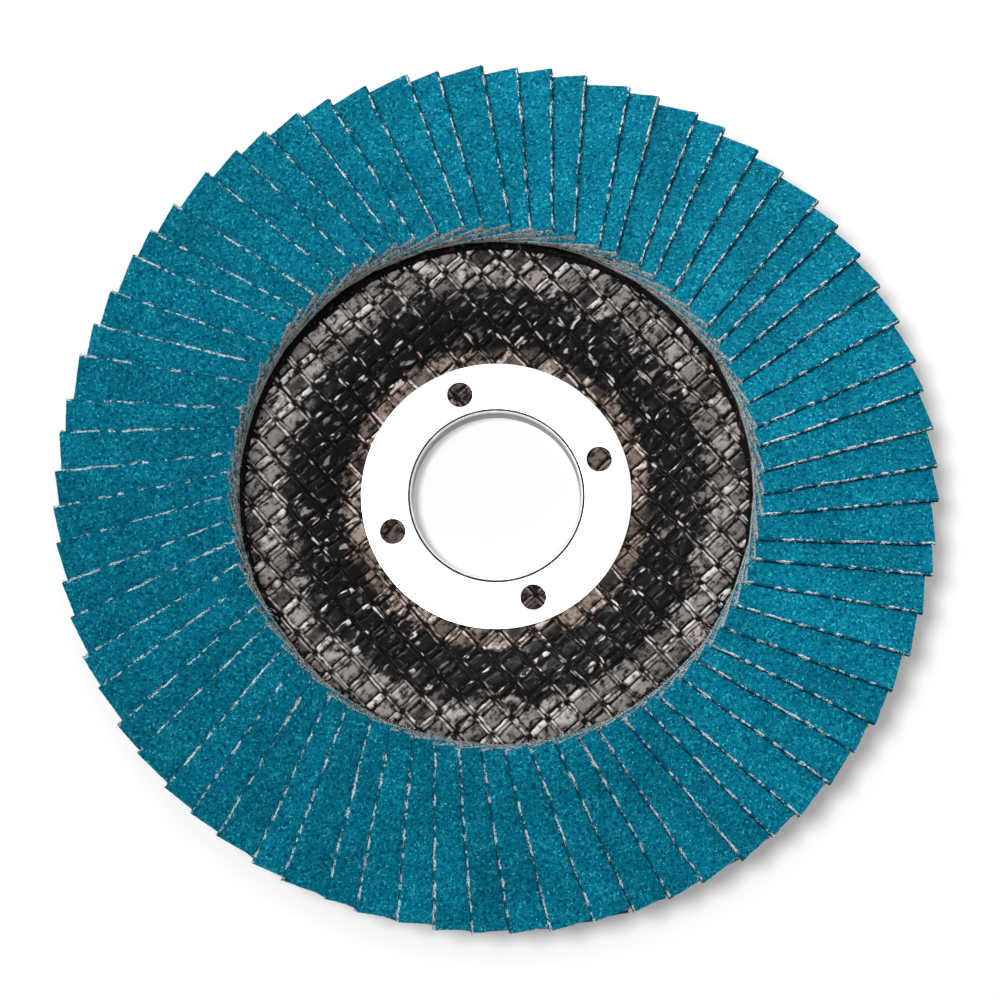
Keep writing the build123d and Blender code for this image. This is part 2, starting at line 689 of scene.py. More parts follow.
@dataclass(frozen=True)
class CutEdge(Finish):
    """The cut side of a flap: pale cotton threads with smears of the coat over them."""

    name: str = "cut_side"
    thread: Triple = (0.69, 0.8, 0.84)
    smear: Triple = (0.002, 0.12, 0.19)
    soil: Triple = (0.12, 0.19, 0.23)
    smear_pitch: float = 1.4 * MM
    smear_from: float = 0.458  # the lower, the more of the thread is smeared
    smear_fade: float = 0.07
    strand_pitch: float = 0.25 * MM
    strand_span: Span = (0.36, 0.56)
    relief: float = 0.1 * MM

    @classmethod
    def worn(cls) -> "CutEdge":
        """The same cloth at a flap's inner end, grey with dust."""
        pale, smear, soil = (0.6, 0.6, 0.58), (0.01, 0.09, 0.12), (0.1, 0.1, 0.1)
        return cls("cut_end", pale, smear, soil, smear_pitch=1.1 * MM, smear_from=0.58)

    @classmethod
    def shaded(cls) -> "CutEdge":
        """The lower half of a cut side, painted dark navy as the shadow between flaps."""
        dark, smear, soil = (0.03, 0.07, 0.11), (0.001, 0.014, 0.045), (0.002, 0.014, 0.035)
        return cls("cut_core", dark, smear, soil, smear_pitch=1.1 * MM, smear_from=0.44)

    def paint(self, shade: Shade) -> None:
        """Lays soiled threads and the smears over them.

        Args:
            shade: The material's node tree.
        """
        strand = shade.noise(self.strand_pitch, roughness=0.6)
        pale = shade.mix(shade.span(strand, *self.strand_span), self.soil, self.thread)
        field = shade.noise(self.smear_pitch, detail=3, roughness=0.65)
        smears = shade.span(field, self.smear_from, self.smear_from + self.smear_fade)
        shade.set(
            Base_Color=shade.tint(shade.mix(smears, pale, self.smear), shade.attribute("tone")),
            Roughness=0.9,
            Specular_IOR_Level=0.0,
            Normal=shade.bump(strand, self.relief),
        )


@dataclass(frozen=True)
class FlapBack(Finish):
    """The woven back of the cloth: cotton drill, resin-sized, dull blue-grey."""

    name: str = "flap_back"
    warp: Triple = (0.16, 0.21, 0.24)
    gap: Triple = (0.05, 0.075, 0.09)
    pitch: float = 0.5 * MM
    gap_span: Span = (0.1, 0.7)
    relief: float = 0.08 * MM

    def paint(self, shade: Shade) -> None:
        """Lays the weave.

        Args:
            shade: The material's node tree.
        """
        weave = shade.cells(self.pitch)
        shade.set(
            Base_Color=shade.mix(shade.span(weave, *self.gap_span), self.warp, self.gap),
            Roughness=0.85,
            Specular_IOR_Level=0.15,
            Normal=shade.bump(weave, self.relief),
        )


@dataclass(frozen=True)
class WovenLaminate(Finish):
    """Black phenolic resin over glass cloth, with the press cloth's weave in its skin."""

    name: str = "woven_laminate"
    resin: Triple = (0.012, 0.0105, 0.01)
    glass: Triple = (0.05, 0.046, 0.043)
    strand_span: Span = (0.1, 0.8)
    fibre_pitch: float = 0.3 * MM
    fibre_span: Span = (0.4, 0.7)
    roughness: Span = (0.25, 0.45)
    relief: float = 0.22 * MM
    fibre_relief: float = 0.05 * MM

    def paint(self, shade: Shade) -> None:
        """Lays two families of strands across each other, with fibres showing on their crowns.

        Args:
            shade: The material's node tree.
        """
        axes = shade.add("ShaderNodeSeparateXYZ")
        shade.wire(shade.scaled((math.tau / WEAVE_PITCH,) * 3, -WEAVE_TURN), axes.inputs["Vector"])
        waves = [shade.math("COSINE", axes.outputs[axis]) for axis in ("X", "Y")]
        height = shade.span(shade.math("MAXIMUM", *waves), *self.strand_span)
        fibre = shade.noise(self.fibre_pitch, detail=3)
        shown = shade.times(height, shade.span(fibre, *self.fibre_span))
        under = shade.bump(fibre, self.fibre_relief)
        shade.set(
            Base_Color=shade.mix(shown, self.resin, self.glass),
            Roughness=shade.spread(fibre, *self.roughness),
            Specular_IOR_Level=0.15,
            Normal=shade.bump(height, self.relief, under=under),
        )


@dataclass(frozen=True)
class GlassStrand(Finish):
    """Glass roving under a skin of black resin: grey on its crown, black in its creases.

    Radii are in millimetres. The cone between hub and land is painted blacker, as the shade and lost
    reflection of its slope, with strokes painted as glints; the strands on the hub are brown.
    """

    name: str = "glass_roving"
    turn: float = WEAVE_TURN
    crown: Triple = (0.38, 0.34, 0.325)
    crease: Triple = (0.0035, 0.003, 0.003)
    brown: Triple = (0.3, 0.225, 0.185)
    # the colour of painted glints on the brightest crowns
    bare: Triple = (0.82, 0.77, 0.74)
    fibre_pitch: float = 0.26 * MM
    fibre_stretch: float = 0.22
    fibre_share: float = 0.35  # of the fibres in the grain, beside the speckle
    speckle_pitch: float = 0.9 * MM
    stroke_pitch: float = 0.8 * MM
    stroke_stretch: float = 0.45
    stroke_share: float = 0.85  # of the strokes in the grain on the cone
    blotch_pitch: float = 4 * MM
    blotch_reach: float = 4.0  # how far the blotches push the cone's end in
    # on the cone the flecks are pushed darker as painted shade, and its strokes are painted glints
    cone_end: Span = (32.0, 26.5)
    cone_start: Span = (19.2, 22.0)
    cone_contrast: float = 2.0
    cone_offset: Span = (0.5, 0.25)
    hub_end: Span = (22.5, 19.5)
    flange_shade_span: Span = (17.0, 18.0)  # painted shade: under the ring's flange, seen in its key holes, the strands are darker
    flange_shade_light: float = 0.55
    fleck_span: Span = (0.36, 0.58)
    fleck_light: Span = (0.01, 1.2)
    glint_span: Span = (0.85, 1.7)
    glint_strength: float = 0.8
    roughness: Span = (0.2, 0.45)
    roughness_span: Span = (0.35, 0.65)
    relief: float = 0.12 * MM

    def paint(self, shade: Shade) -> None:
        """Lays flecks of glass over the resin, by how high the strand stands and how far out, with painted
        shade and glints.

        Args:
            shade: The material's node tree.
        """
        radius = shade.radius()
        blotch = shade.times(shade.noise(self.blotch_pitch, detail=1), self.blotch_reach)
        cone = shade.span(shade.math("ADD", radius, blotch), *self.cone_end)
        cone = shade.times(cone, shade.span(radius, *self.cone_start))
        speckle = shade.noise(self.speckle_pitch, roughness=0.55)
        lines = shade.scaled((self.fibre_stretch, 1.0, 1.0), -self.turn)
        fibre = shade.noise(self.fibre_pitch, detail=3, roughness=0.6, vector=lines)
        lines = shade.scaled((self.stroke_stretch, 1.0, 1.0), -self.turn)
        strokes = shade.noise(self.stroke_pitch, detail=1.5, vector=lines)
        grain = shade.mix(self.fibre_share, speckle, fibre)
        # on the cone: strokes as painted glints, and flecks pushed darker as painted shade
        grain = shade.mix(shade.span(cone, 0.0, 1.0, 0.0, self.stroke_share), grain, strokes)
        contrast = shade.span(cone, 0.0, 1.0, 1.0, self.cone_contrast)
        flecks = shade.times(shade.math("SUBTRACT", grain, 0.5), contrast)
        flecks = shade.math("ADD", flecks, shade.span(cone, 0.0, 1.0, *self.cone_offset))
        shown = shade.span(flecks, *self.fleck_span, *self.fleck_light)
        # painted shade under the ring's flange
        shown = shade.times(shown, shade.span(radius, *self.flange_shade_span, self.flange_shade_light, 1.0))
        crown = shade.math("POWER", shade.attribute("crown"), shade.math("ADD", cone, 1.0))
        level = shade.times(crown, shown)
        glass = shade.mix(shade.span(radius, *self.hub_end), self.crown, self.brown)
        body = shade.mix(shade.math("MINIMUM", level, 1.0), self.crease, glass)
        # painted glints: the brightest crowns turn nearly white
        glints = shade.span(level, *self.glint_span, 0.0, self.glint_strength)
        shade.set(
            Base_Color=shade.mix(glints, body, self.bare),
            Roughness=shade.span(speckle, *self.roughness_span, *self.roughness),
            Specular_IOR_Level=0.08,
            Normal=shade.bump(grain, self.relief),
        )


@dataclass(frozen=True)
class CuredResin(Finish):
    """Dark epoxy bed, glossy where it was squeezed out."""

    name: str = "cured_resin"
    base: Triple = (0.003, 0.0025, 0.0025)
    dust: Triple = (0.06, 0.056, 0.053)
    dust_span: Span = (0.58, 0.72)
    pitch: float = 0.9 * MM
    roughness: Span = (0.3, 0.6)
    relief: float = 0.2 * MM

    def paint(self, shade: Shade) -> None:
        """Lays dust on the lumps.

        Args:
            shade: The material's node tree.
        """
        lumps = shade.noise(self.pitch, detail=3)
        shade.set(
            Base_Color=shade.mix(shade.span(lumps, *self.dust_span), self.base, self.dust),
            Roughness=shade.spread(lumps, *self.roughness),
            Specular_IOR_Level=0.04,
            Normal=shade.bump(lumps, self.relief),
        )


@dataclass(frozen=True)
class TinnedSteel(Finish):
    """Bright tin plate with a fine grain from the press."""

    name: str = "tinned_steel"
    base: Triple = (0.93, 0.925, 0.92)
    dull: Triple = (0.84, 0.84, 0.84)
    dull_span: Span = (0.45, 0.7)
    cloud_pitch: float = 6 * MM
    grain_pitch: float = 0.6 * MM
    grain_stretch: float = 0.08
    grain_turn: float = 0.4
    roughness: Span = (0.3, 0.42)
    relief: float = 0.01 * MM

    def paint(self, shade: Shade) -> None:
        """Lays dull clouds and the grain.

        Args:
            shade: The material's node tree.
        """
        lines = shade.scaled((1.0, self.grain_stretch, 1.0), self.grain_turn)
        grain = shade.noise(self.grain_pitch, detail=4, vector=lines)
        cloud = shade.noise(self.cloud_pitch, detail=3)
        shade.set(
            Base_Color=shade.mix(shade.span(cloud, *self.dull_span), self.base, self.dull),
            Metallic=1.0,
            Roughness=shade.spread(grain, *self.roughness),
            Normal=shade.bump(grain, self.relief),
        )


@dataclass(frozen=True)
class DullSteel(Finish):
    """Dull steel, by default painted near-black in the ring's groove as its shade and dark reflection."""

    name: str = "grooved_steel"
    base: Triple = (0.03, 0.027, 0.025)
    bare: Triple = (0.16, 0.15, 0.145)
    wear_pitch: float = 1.5 * MM
    wear_span: Span = (0.5, 0.75)
    relief: float = 0.02 * MM

    @classmethod
    def drawn(cls) -> "DullSteel":
        """The collar's inner wall, the same steel painted grey as its shade."""
        return cls("drawn_steel", (0.3, 0.29, 0.28), (0.5, 0.48, 0.46))

    @classmethod
    def rolled(cls) -> "DullSteel":
        """The lip rolled into the bore, pale and matt."""
        return cls("rolled_steel", (0.72, 0.71, 0.7), (0.9, 0.89, 0.88))

    def paint(self, shade: Shade) -> None:
        """Lays worn places over the dark steel.

        Args:
            shade: The material's node tree.
        """
        wear = shade.noise(self.wear_pitch, detail=3)
        shade.set(
            Base_Color=shade.mix(shade.span(wear, *self.wear_span), self.base, self.bare),
            Metallic=0.3,
            Roughness=0.5,
            Specular_IOR_Level=0.2,
            Normal=shade.bump(wear, self.relief),
        )


# ------------------------------------------------------------------ flap pack


@dataclass
class FlapPack:
    """The overlapping flaps: each a cut of cloth with a coat of grain, its cut edge frayed."""

    coat_thickness: float = 0.16 * MM
    shown_width: float = 6.6 * MM  # with a fine grid; the neighbour covers the rest
    cell: float = 0.235 * MM
    ledge: float = 0.1 * MM  # the cloth stands out past the coat
    chip: float = 0.42 * MM
    chip_size: float = 0.55 * MM
    chip_reach: float = 0.8 * MM  # chips and bow fade out over this width
    bow: float = 0.3 * MM
    bow_size: float = 5 * MM
    grit: float = 0.14 * MM
    grit_size: float = 0.5 * MM
    variants: int = 4  # flaps modelled, to be copied in turn
    threads: int = 46  # on the cut edge, and as many in the fringe
    thread_length: float = 0.7 * MM
    thread_radius: float = 0.045 * MM
    thread_stretch: Span = (0.6, 1.5)
    tone_scatter: float = 0.07
    sheet_gap: float = 7 * MM  # from one flap's stretch of the height fields to the next
    seed: int = 7

    def __post_init__(self) -> None:
        """Starts the pack's own source of scatter, its finishes and its height fields."""
        self.rng = random.Random(self.seed)
        kinds = (GritCoat(), CutEdge(), FlapBack(), CutEdge.worn(), CutEdge.shaded())
        self.finishes = [kind.material() for kind in kinds]
        self.grain_field = Bench.clouds("grain", self.grit_size, 1, "VORONOI_F1")
        self.chip_field = Bench.clouds("chips", self.chip_size)
        self.bow_field = Bench.clouds("bow", self.bow_size, 1)

    @staticmethod
    def places(node: Piece) -> list[tuple[Matrix, Vector]]:
        """Finds where a CAD node's flaps lie.

        Args:
            node: A CAD node that holds several flaps as plain slabs, one after the other.

        Returns:
            For each flap its frame, with X along the flap, Y anticlockwise across it and Z out of
            its coated face, its origin in the middle of the slab, and its sizes on those axes.
        """
        corners = np.array([tuple(vertex.co) for vertex in node.data.vertices])
        return [FlapPack.slab_frame(slab) for slab in corners.reshape(-1, SLAB_VERTICES, 3)]

    @staticmethod
    def slab_frame(corners: np.ndarray) -> tuple[Matrix, Vector]:
        """Finds where one slab lies.

        Args:
            corners: The slab's corners, the same number at each.

        Returns:
            Its frame and its sizes.
        """
        middle = corners.mean(0)
        _, spreads, axes = np.linalg.svd(corners - middle, full_matrices=False)
        along, out = Vector(axes[0]), Vector(axes[2])
        along *= math.copysign(1, along.dot(Vector((*middle[:2], 0))))
        out *= math.copysign(1, out.z)
        turned = Matrix((along, out.cross(along), out)).transposed()
        sizes = Vector(spreads * 2 / math.sqrt(len(corners)))
        return Matrix.Translation(middle) @ turned.to_4x4(), sizes

    def model_flap(self, name: str, size: Vector) -> Piece:
        """Models one flap, flat and centred on its own origin.

        Args:
            name: The piece's name.
            size: Length, width and thickness, in metres.

        Returns:
            A closed mesh: a fine grid of coat where the flap shows, a plain stretch where its
            neighbour covers it, the cut sides with a ledge of bare cloth, and the back.
        """
        length, width, thickness = size
        cells = (round(length / self.cell), round(self.shown_width / self.cell))
        centre = Vector((0, (self.shown_width - width) / 2, thickness / 2))
        flap = Bench.grid(name, (length, self.shown_width), cells, centre)
        covered_from = self.shown_width - width / 2 - self.cell / 4
        drop = (self.coat_thickness - thickness) / CLOTH_BANDS
        wider = (1 + self.ledge / length, 1 + 2 * self.ledge / width, 1)

        def extrude(*move: float) -> None:
            """Extrudes what is selected by a move along X, Y and Z."""
            bpy.ops.mesh.extrude_region_move(TRANSFORM_OT_translate={"value": move})

        def covered(edge: bmesh.types.BMEdge) -> bool:
            """Says whether an edge is the last one that the neighbour leaves bare."""
            return all(corner.co.y > covered_from for corner in edge.verts)

        with Bench.editing(flap, Element.EDGE):
            Bench.select_where(flap, Element.EDGE, covered)
            extrude(0, width - self.shown_width, 0)
            bpy.ops.mesh.select_all(action="DESELECT")
            Bench.select_where(flap, Element.EDGE, lambda edge: edge.is_boundary)
            extrude(0, 0, -self.coat_thickness)
            extrude(0, 0, 0)
            bpy.ops.transform.resize(value=wider, center_override=(0, 0, 0))
            for _ in range(CLOTH_BANDS):
                extrude(0, 0, drop)
            bpy.ops.mesh.edge_face_add()
        self.sort_faces(flap, size)
        self.group_vertices(flap, size)
        return flap

    def sort_faces(self, flap: Piece, size: Vector) -> None:
        """Gives a flap's faces their finishes: coat on top, cut sides, worn ends, cloth back.

        Args:
            flap: The flat flap.
            size: Its length, width and thickness, in metres.
        """
        Bench.dress(flap, *self.finishes)
        coat_bottom = size.z / 2 - self.coat_thickness
        for face in flap.data.polygons:
            place = face.center
            looks_down = face.normal.z < -0.9
            at_end = place.x < -size.x / 2 or abs(face.normal.x) > 0.7
            if looks_down:
                face.material_index = FlapFace.BACK
            elif at_end:
                face.material_index = FlapFace.WORN
            # the lower band of the cut side gets the painted shadow between flaps
            elif place.z < -size.z / 5:
                face.material_index = FlapFace.CORE
            elif place.z <= coat_bottom + self.coat_thickness / 4:
                face.material_index = FlapFace.CUT

    def group_vertices(self, flap: Piece, size: Vector) -> None:
        """Groups the vertices that grain and fraying move.

        Args:
            flap: The flat flap.
            size: Its length, width and thickness, in metres.
        """
        groups = {name: flap.vertex_groups.new(name=name) for name in ("coat", "lip", "side", "ends")}
        top, front = size.z / 2 - self.coat_thickness / 4, -size.y / 2
        lip_bottom = size.z / 2 - self.coat_thickness * 1.1
        for corner in flap.data.vertices:
            place = corner.co
            near = max(0.0, 1 - (place.y - front) / self.chip_reach)
            on_coat = place.z > lip_bottom and place.y > front - self.ledge / 2
            for name, weight in (
                ("coat", float(place.z > top)),
                ("lip", near * on_coat),
                ("side", near),
                ("ends", float(abs(place.x) > size.x / 2 - self.ledge / 2)),
            ):
                groups[name].add([corner.index], min(weight, 1.0), "REPLACE")

    def fray(self, flap: Piece, size: Vector) -> Piece:
        """Lays loose threads along a flap's cut edge, on its inner corner and on its inner end.

        Args:
            flap: The flat flap.
            size: Its length, width and thickness, in metres.

        Returns:
            The flap with its threads joined to it.
        """
        Bench.clear()
        bpy.ops.mesh.primitive_cone_add(
            vertices=3, radius1=self.thread_radius, radius2=self.thread_radius / 3, depth=self.thread_length
        )
        thread = bpy.context.active_object
        Bench.dress(thread, *self.finishes)
        laid = []
        for spot, count, finish in (
            (self.edge_spot, self.threads, FlapFace.CUT),
            (self.corner_spot, self.threads // 3, FlapFace.CUT),
            (self.end_spot, self.threads, FlapFace.WORN),
        ):
            for face in thread.data.polygons:
                face.material_index = finish
            laid += [self.lay_thread(thread, *spot(size)) for _ in range(count)]
        bpy.data.objects.remove(thread)
        return Bench.join(flap.name, [flap, *laid])

    def edge_spot(self, size: Vector) -> tuple[Vector, Vector]:
        """Draws a spot for a loose thread on the cut edge.

        Args:
            size: The flap's length, width and thickness, in metres.

        Returns:
            The thread's place and direction.
        """
        cloth = size.z - self.coat_thickness
        place = Vector((
            self.rng.uniform(-0.5, 0.5) * size.x,
            -size.y / 2 - self.ledge * self.rng.uniform(0.3, 1.2),
            -size.z / 2 + cloth * self.rng.uniform(0.35, 1.1),
        ))
        way = Vector((self.rng.choice((-1, 1)), self.rng.gauss(-0.1, 0.35), self.rng.gauss(0.0, 0.2)))
        return place, way

    def corner_spot(self, size: Vector) -> tuple[Vector, Vector]:
        """Draws a spot for a loose thread in the tuft on the inner corner.

        Args:
            size: The flap's length, width and thickness, in metres.

        Returns:
            The thread's place and direction.
        """
        place = Vector((
            -size.x / 2 - self.ledge * self.rng.uniform(0, 1.5),
            -size.y / 2 + self.thread_length * self.rng.uniform(-0.3, 1.2),
            size.z * self.rng.uniform(-0.4, 0.2),
        ))
        way = Vector((self.rng.gauss(-0.8, 0.5), self.rng.gauss(-0.6, 0.6), self.rng.gauss(0.2, 0.3)))
        return place, way

    def end_spot(self, size: Vector) -> tuple[Vector, Vector]:
        """Draws a spot for a loose thread in the fringe along the inner end.

        Args:
            size: The flap's length, width and thickness, in metres.

        Returns:
            The thread's place and direction.
        """
        place = Vector((
            -size.x / 2 - self.thread_length * self.rng.uniform(0.1, 0.5),
            -size.y / 2 + size.y / 3 * self.rng.random(),
            size.z * self.rng.uniform(-0.1, 0.4),
        ))
        way = Vector((self.rng.gauss(-1.0, 0.3), self.rng.gauss(0.0, 1.1), self.rng.gauss(0.0, 0.2)))
        return place, way

    def lay_thread(self, thread: Piece, place: Vector, way: Vector) -> Piece:
        """Copies the thread, a little longer or shorter.

        Args:
            thread: The thread to copy.
            place: Where the copy's middle lies.
            way: Where it points.

        Returns:
            The copy.
        """
        copy = Bench.copy(thread)
        stretch = Matrix.Diagonal((1, 1, self.rng.uniform(*self.thread_stretch), 1))
        turned = way.to_track_quat("Z", "X").to_matrix().to_4x4()
        copy.data.transform(Matrix.Translation(place) @ turned @ stretch)
        return copy

    def place_flap(self, pattern: Piece, frame: Matrix, place: int) -> Piece:
        """Copies a flap into its place, with grain and fraying of its own.

        Args:
            pattern: The flat flap to copy.
            frame: Where it lies in the pack.
            place: Its number, which picks a fresh stretch of every height field.

        Returns:
            The finished flap.
        """
        flap = Bench.copy(pattern)
        aside = Matrix.Translation((0, 0, place * self.sheet_gap))
        flap.data.transform(aside)
        for field, group, axis, depth, level in (
            (self.grain_field, "coat", "Z", self.grit, 1.0),
            (self.chip_field, "lip", "Y", self.chip, 0.3),
            (self.bow_field, "side", "Y", self.bow, 0.3),
            (self.chip_field, "ends", "X", self.chip / 4, 0.5),
        ):
            Bench.roughen(flap, field, depth, level, direction=axis, vertex_group=group)
        flap.data.transform(frame @ aside.inverted())
        tone = flap.data.attributes.new("tone", "FLOAT", "POINT")
        shade = self.rng.uniform(1 - self.tone_scatter, 1 + self.tone_scatter)
        tone.data.foreach_set("value", [shade] * len(flap.data.vertices))
        return flap

    def build(self, nodes: dict[str, Piece]) -> None:
        """Models the pack over the CAD flaps.

        Args:
            nodes: The frame's CAD nodes.
        """
        names = sorted(name for name in nodes if name.startswith("flap_pair"))
        size = self.places(nodes[names[0]])[0][1]
        patterns = [
            self.fray(self.model_flap(f"flap_pattern_{number}", size), size)
            for number in range(self.variants)
        ]
        place = 0
        for name in names:
            flaps = []
            for frame, _ in self.places(nodes[name]):
                flaps.append(self.place_flap(patterns[place % self.variants], frame, place))
                place += 1
            pair = Bench.join(name.replace("flap_pair", "grit_flaps"), flaps)
            Bench.smooth(pair, degrees=50)
            pair.vertex_groups.clear()
            Bench.seat(pair, Slot.CLOTH, name)
        for pattern in patterns:
            bpy.data.objects.remove(pattern)


# ------------------------------------------------------------------ plate, weave and adhesive


@dataclass(frozen=True)
class Dish:
    """The dished form that the plate, its weave and the adhesive share, in metres."""

    ring_radius: float
    bed_radius: float
    plate_radius: float
    hub_level: float
    land_level: float
    edge_level: float
    hub_back: float
    bore_radius: float = 11.665 * MM
    ring_metal: float = 0.5 * MM
    bed_thickness: float = 0.5 * MM
    rim_angle: float = math.radians(5)
    thickness: float = 2.4 * MM
    hub_margin: float = 2.1 * MM
    cone_run: float = 5.4 * MM
    cone_easing: float = 1.6 * MM

    @classmethod
    def measured(cls) -> "Dish":
        """Works the form out from the CAD nodes.

        Returns:
            The form.
        """
        low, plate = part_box("backing_plate")
        bed_low, bed_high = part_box("adhesive_bed")
        _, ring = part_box("centre_ring")
        slope = math.tan(cls.rim_angle)
        bed_radius = bed_high.x - (bed_high.z - bed_low.z - cls.bed_thickness) / slope
        return cls(
            ring_radius=ring.x,
            bed_radius=bed_radius,
            plate_radius=plate.x,
            hub_level=ring.z - cls.ring_metal,
            land_level=plate.z,
            edge_level=plate.z - (plate.x - bed_radius) * slope,
            hub_back=low.z,
        )

    @property
    def hub_radius(self) -> float:
        """Where the flat hub ends."""
        return self.ring_radius + self.hub_margin

    @property
    def land_radius(self) -> float:
        """Where the level land starts."""
        return self.hub_radius + self.cone_run

    def front(self, radius: np.ndarray | float) -> np.ndarray:
        """Measures the plate's front.

        Args:
            radius: Distance from the bore's axis, in metres.

        Returns:
            Its height at each radius.
        """
        return np.interp(
            radius,
            [self.hub_radius, self.land_radius, self.bed_radius, self.plate_radius],
            [self.hub_level, self.land_level, self.land_level, self.edge_level],
        )


@dataclass
class BackingPlate:
    """The moulded plate: resin skin on both faces, its front sunk below the strands."""

    dish: Dish
    corner: float = 0.9 * MM
    steps: int = 240
    step_length: float = 0.9 * MM

    def outline(self) -> list[Span]:
        """Draws the plate's section.

        Returns:
            Radius and height of each corner, front first.
        """
        dish = self.dish
        weave_end = dish.bed_radius + self.corner
        hub_front, land_front = dish.hub_level - WEAVE_DEPTH, dish.land_level - WEAVE_DEPTH
        land_back = dish.land_level - dish.thickness
        corners = [
            (dish.bore_radius, hub_front),
            (dish.hub_radius, hub_front),
            (dish.land_radius, land_front),
            (dish.bed_radius, land_front),
            (weave_end, float(dish.front(weave_end))),
            (dish.plate_radius, dish.edge_level),
            (dish.plate_radius, dish.edge_level - dish.thickness),
            (dish.bed_radius, land_back),
            (dish.land_radius + dish.cone_easing, land_back),
            (dish.hub_radius - dish.cone_easing, dish.hub_back),
            (dish.bore_radius, dish.hub_back),
        ]
        return Bench.divided(corners, self.step_length)

    def build(self) -> None:
        """Turns the plate and finishes it, the back as laminate and the front as resin."""
        plate = Bench.lathe("resin_plate", self.outline(), self.steps)
        Bench.dress(plate, WovenLaminate().material(), CuredResin().material())
        for face in plate.data.polygons:
            face.material_index = int(face.normal.z > 0.5)
        Bench.smooth(plate, degrees=35)
        Bench.seat(plate, Slot.LAMINATE, "backing_plate")


@dataclass(frozen=True)
class StrandForm:
    """The form of a strand: its section, its brightness, and how it crosses the others."""

    width: float
    crown: float
    shine: float
    fullness: int
    rows: int
    slope: float = 2.2
    crossing: float = -0.62
    lowest: float = 0.0

    def lift(self, wave: np.ndarray) -> np.ndarray:
        """How far the strand stands up, between 0 and 1, along the wave of its crossings."""
        return np.clip(0.5 + self.slope * (wave - self.crossing), self.lowest, 1.0)


class Strand(Enum):
    """The kinds of strand."""

    # BAR and YARN shine above FLAT: painted highlights on the raised strands
    FLAT = StrandForm(width=2.06 * MM, crown=0.22 * MM, shine=1.0, fullness=12, rows=8)
    BAR = StrandForm(width=1.0 * MM, crown=0.27 * MM, shine=1.6, fullness=6, rows=6)
    YARN = StrandForm(0.44 * MM, 0.25 * MM, 1.5, 4, 4, slope=-2.5, crossing=0.7, lowest=0.2)


